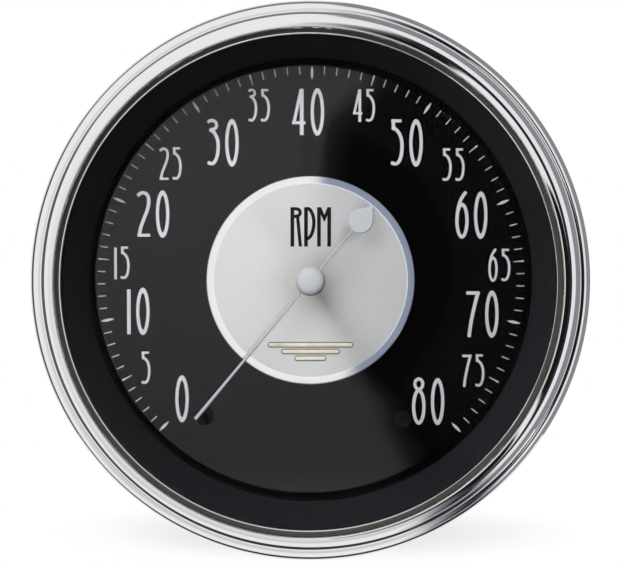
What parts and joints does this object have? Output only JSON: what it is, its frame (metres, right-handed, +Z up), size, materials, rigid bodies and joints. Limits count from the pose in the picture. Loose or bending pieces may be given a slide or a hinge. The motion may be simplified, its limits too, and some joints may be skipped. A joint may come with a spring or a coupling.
{
  "type": "tachometer",
  "caption": "Round dash tachometer with a beaded bright bezel, black dial, sweeping pointer, air-core movement, rear clamp and thumb nuts.",
  "frame": {"origin": "on the gauge's axis, in the plane where the bezel's rear face seats on the dash panel", "axes": "+Y along the axis from the dial towards the back, +Z up the dial, +X to the viewer's right"},
  "size_m": [0.0932, 0.0849, 0.0932],
  "materials": {
    "case_black": "satin black enamel",
    "bezel_bright": "mirror polished",
    "glass_clear": "clear, domed",
    "rubber_black": "matte",
    "visor_black": "satin moulded",
    "dial_black": "gloss black",
    "print_white": "screen printed",
    "disc_spun": "spun, fine rings",
    "ornament_cream": "cream enamel, dark edge",
    "stop_black": "matte",
    "pointer_silver": "satin silver",
    "brass": "turned",
    "steel_bright": "turned",
    "steel_zinc": "zinc plated",
    "magnet_grey": "ground ferrite",
    "shield_grey": "drawn",
    "bobbin_ivory": "moulded",
    "copper": "enamelled copper wire",
    "plastic_white": "moulded",
    "board_green": "solder resist",
    "component_black": "moulded",
    "component_blue": "sleeved",
    "component_tan": "lacquered"
  },
  "bodies": {
    "gauge": {"case": "case_black", "bezel": "bezel_bright", "glass": "glass_clear", "glass_gasket": "rubber_black", "visor": "visor_black", "dial": "dial_black", "scale_marks": "print_white", "centre_disc": "disc_spun", "disc_ornament": "ornament_cream", "stop_pins": "stop_black", "light_box": "plastic_white", "bobbin_upper": "bobbin_ivory", "bobbin_lower": "bobbin_ivory", "coil_inner": "copper", "coil_outer": "copper", "shield_can": "shield_grey", "upper_bearing": "brass", "lower_bearing": "brass", "circuit_board": "board_green", "board_posts": "steel_zinc", "board_screws": "steel_zinc", "case_screws": "steel_zinc", "capacitors": "component_blue", "chips": "component_black", "resistors": "component_tan", "trimmer": "component_blue", "selector_switch": "component_black", "terminal_block": "component_black", "terminal_blades": "brass", "terminal_rivets": "steel_zinc", "stud_left": "steel_zinc", "stud_right": "steel_zinc", "stud_nuts": "steel_zinc"},
    "pointer": {"pointer_blade": "pointer_silver", "pointer_cap": "pointer_silver", "pointer_bush": "brass", "spindle": "steel_bright", "rotor_magnet": "magnet_grey"},
    "selector": {"selector_shaft": "plastic_white"},
    "lamp_left": {"lamp_holder_left": "plastic_white", "bulb_left": "glass_clear"},
    "lamp_right": {"lamp_holder_right": "plastic_white", "bulb_right": "glass_clear"},
    "bracket": {"clamp": "steel_zinc", "lock_washers": "steel_zinc"},
    "nut_left": {"thumb_nut_left": "brass"},
    "nut_right": {"thumb_nut_right": "brass"}
  },
  "joints": [
    {"name": "pointer_spin", "type": "hinge", "parent": "gauge", "child": "pointer", "pos_m": [0, 0, 0], "axis": [0, 1, 0], "range_deg": [0, 284.9]},
    {"name": "selector_turn", "type": "hinge", "parent": "gauge", "child": "selector", "pos_m": [0, 0.046, 0.029], "axis": [0, 1, 0], "range_deg": [-45, 45]},
    {"name": "lamp_left_twist", "type": "hinge", "parent": "gauge", "child": "lamp_left", "pos_m": [-0.01987, 0.046, 0.02207], "axis": [0, 1, 0], "range_deg": [0, 45]},
    {"name": "lamp_right_twist", "type": "hinge", "parent": "gauge", "child": "lamp_right", "pos_m": [0.01987, 0.046, 0.02207], "axis": [0, 1, 0], "range_deg": [0, 45]},
    {"name": "bracket_slide", "type": "slide", "parent": "gauge", "child": "bracket", "axis": [0, 1, 0], "range_m": [0, 0.0119]},
    {"name": "thumb_nut_left_spin", "type": "hinge", "parent": "bracket", "child": "nut_left", "pos_m": [-0.0254, 0.055, 0], "axis": [0, 1, 0], "range_deg": [0, 5400]},
    {"name": "thumb_nut_right_spin", "type": "hinge", "parent": "bracket", "child": "nut_right", "pos_m": [0.0254, 0.055, 0], "axis": [0, 1, 0], "range_deg": [0, 5400]}
  ],
  "couplings": [
    {"joint": "thumb_nut_left_spin", "follows": "bracket_slide", "rad_per_m": 7915.8},
    {"joint": "thumb_nut_right_spin", "follows": "bracket_slide", "rad_per_m": 7915.8}
  ]
}
